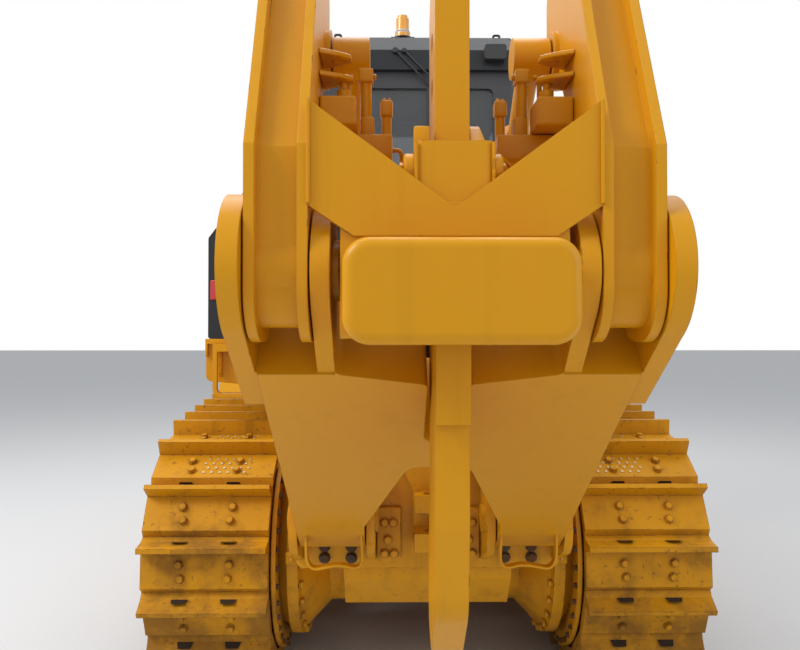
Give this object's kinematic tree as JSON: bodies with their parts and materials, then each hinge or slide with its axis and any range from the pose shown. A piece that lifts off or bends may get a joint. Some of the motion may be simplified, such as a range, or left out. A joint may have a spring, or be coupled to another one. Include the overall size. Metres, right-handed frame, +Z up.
{
  "type": "crawler bulldozer",
  "caption": "Crawler bulldozer with a glazed cab, a curved front blade on push arms and a raised parallelogram ripper with one shank at the rear.",
  "frame": {"origin": "on the ground, under the middle of the whole machine", "axes": "+Y forward towards the blade, +X to the machine's right, +Z up"},
  "size_m": [4.13, 7.053, 3.958],
  "materials": {
    "yellow_paint": "satin",
    "dark_paint": "satin",
    "cab_paint": "satin",
    "worn_steel": "rough",
    "track_paint": "worn",
    "chrome_rod": "polished",
    "window_glass": "clear",
    "seat_fabric": "woven",
    "black_plastic": "matte",
    "red_lens": "gloss",
    "amber_lens": "gloss",
    "lamp_housing": "gloss"
  },
  "bodies": {
    "machine": {"track_right": "track_paint", "track_left": "track_paint", "final_drives": "yellow_paint", "sprockets": "worn_steel", "idlers": "worn_steel", "track_rollers": "worn_steel", "track_frames": "yellow_paint", "pivot_shaft_and_equalizer": "yellow_paint", "main_frame": "yellow_paint", "engine_block": "worn_steel", "ripper_mount": "yellow_paint", "hood": "yellow_paint", "radiator_guard": "yellow_paint", "radiator_grille": "dark_paint", "radiator_core": "dark_paint", "exhaust_stack": "worn_steel", "air_precleaner": "dark_paint", "cab_shell": "cab_paint", "cab_glass": "window_glass", "cab_roof": "dark_paint", "cab_floor": "cab_paint", "seat_pedestal": "cab_paint", "operator_seat": "seat_fabric", "control_console": "black_plastic", "rear_tank": "dark_paint", "tail_lamps": "red_lens", "fenders": "yellow_paint", "rear_steps": "yellow_paint", "beacon": "amber_lens", "work_lamps": "lamp_housing"},
    "ripper_arm": {"ripper_lower_arm": "yellow_paint"},
    "ripper_carriage": {"ripper_pivot_pins": "yellow_paint"},
    "ripper_tool": {"ripper_beam": "yellow_paint", "push_block": "yellow_paint", "ripper_shank": "worn_steel", "ripper_tooth": "worn_steel"},
    "lift_barrels": {"ripper_lift_barrels": "yellow_paint"},
    "lift_rods": {"ripper_lift_rods": "chrome_rod"},
    "tilt_barrels": {"ripper_tilt_barrels": "yellow_paint"},
    "tilt_rods": {"ripper_tilt_rods": "chrome_rod"},
    "blade_and_arms": {"blade": "yellow_paint", "cutting_edge": "worn_steel", "push_arms": "yellow_paint", "blade_braces": "yellow_paint"},
    "blade_cylinder_barrels": {"blade_barrels": "yellow_paint"},
    "blade_cylinder_rods": {"blade_rods": "chrome_rod"},
    "right_door": {"cab_door_right": "cab_paint", "door_glass_right": "window_glass"},
    "left_door": {"cab_door_left": "cab_paint", "door_glass_left": "window_glass"}
  },
  "joints": [
    {"name": "ripper_lift", "type": "hinge", "parent": "machine", "child": "ripper_arm", "pos_m": [0, -1.88946, 0.98], "axis": [1, 0, 0], "range_deg": [0, 56.5]},
    {"name": "ripper_level", "type": "hinge", "parent": "ripper_arm", "child": "ripper_carriage", "pos_m": [0, -3.13946, 1.995], "axis": [1, 0, 0], "range_deg": [-56.6, 0.1]},
    {"name": "ripper_tilt", "type": "hinge", "parent": "ripper_carriage", "child": "ripper_tool", "pos_m": [0, -3.13946, 1.995], "axis": [1, 0, 0], "range_deg": [-8, 10]},
    {"name": "lift_barrel_swing", "type": "hinge", "parent": "machine", "child": "lift_barrels", "pos_m": [0, -1.57946, 1.6], "axis": [1, 0, 0], "range_deg": [-0.1, 42.07]},
    {"name": "lift_rod_slide", "type": "slide", "parent": "lift_barrels", "child": "lift_rods", "axis": [0, -0.9581, 0.2865], "range_m": [-0.001, 0.59966]},
    {"name": "tilt_barrel_swing", "type": "hinge", "parent": "machine", "child": "tilt_barrels", "pos_m": [0, -1.43946, 1.77], "axis": [1, 0, 0], "range_deg": [-0.1, 56.6]},
    {"name": "tilt_rod_slide", "type": "slide", "parent": "tilt_barrels", "child": "tilt_rods", "axis": [0, -0.7763, 0.6304], "range_m": [-0.12373, 0.15441]},
    {"name": "blade_lift", "type": "hinge", "parent": "machine", "child": "blade_and_arms", "pos_m": [0, 0.20054, 0.6], "axis": [1, 0, 0], "range_deg": [-10, 24]},
    {"name": "blade_barrel_swing", "type": "hinge", "parent": "machine", "child": "blade_cylinder_barrels", "pos_m": [0, 2.14054, 2], "axis": [1, 0, 0], "range_deg": [-5.29, 12.57]},
    {"name": "blade_rod_slide", "type": "slide", "parent": "blade_cylinder_barrels", "child": "blade_cylinder_rods", "axis": [0, 0.3183, -0.948], "range_m": [-0.97339, 0.40616]},
    {"name": "right_door_hinge", "type": "hinge", "parent": "machine", "child": "right_door", "pos_m": [0.777, -0.00546, 2.631], "axis": [0, 0, -1], "range_deg": [0, 75]},
    {"name": "left_door_hinge", "type": "hinge", "parent": "machine", "child": "left_door", "pos_m": [-0.777, -0.00546, 2.631], "axis": [0, 0, 1], "range_deg": [0, 75]}
  ],
  "couplings": [
    {"joint": "ripper_level", "follows": "ripper_lift", "ratio": -1},
    {"joint": "lift_barrel_swing", "follows": "ripper_lift", "ratio": 0.74286},
    {"joint": "lift_rod_slide", "follows": "ripper_lift", "m_per_rad": 0.6071},
    {"joint": "tilt_barrel_swing", "follows": "ripper_lift", "ratio": 1},
    {"joint": "tilt_rod_slide", "follows": "ripper_tilt", "m_per_rad": 0.879},
    {"joint": "blade_barrel_swing", "follows": "blade_lift", "ratio": 0.51938},
    {"joint": "blade_rod_slide", "follows": "blade_lift", "m_per_rad": -2.3214}
  ]
}
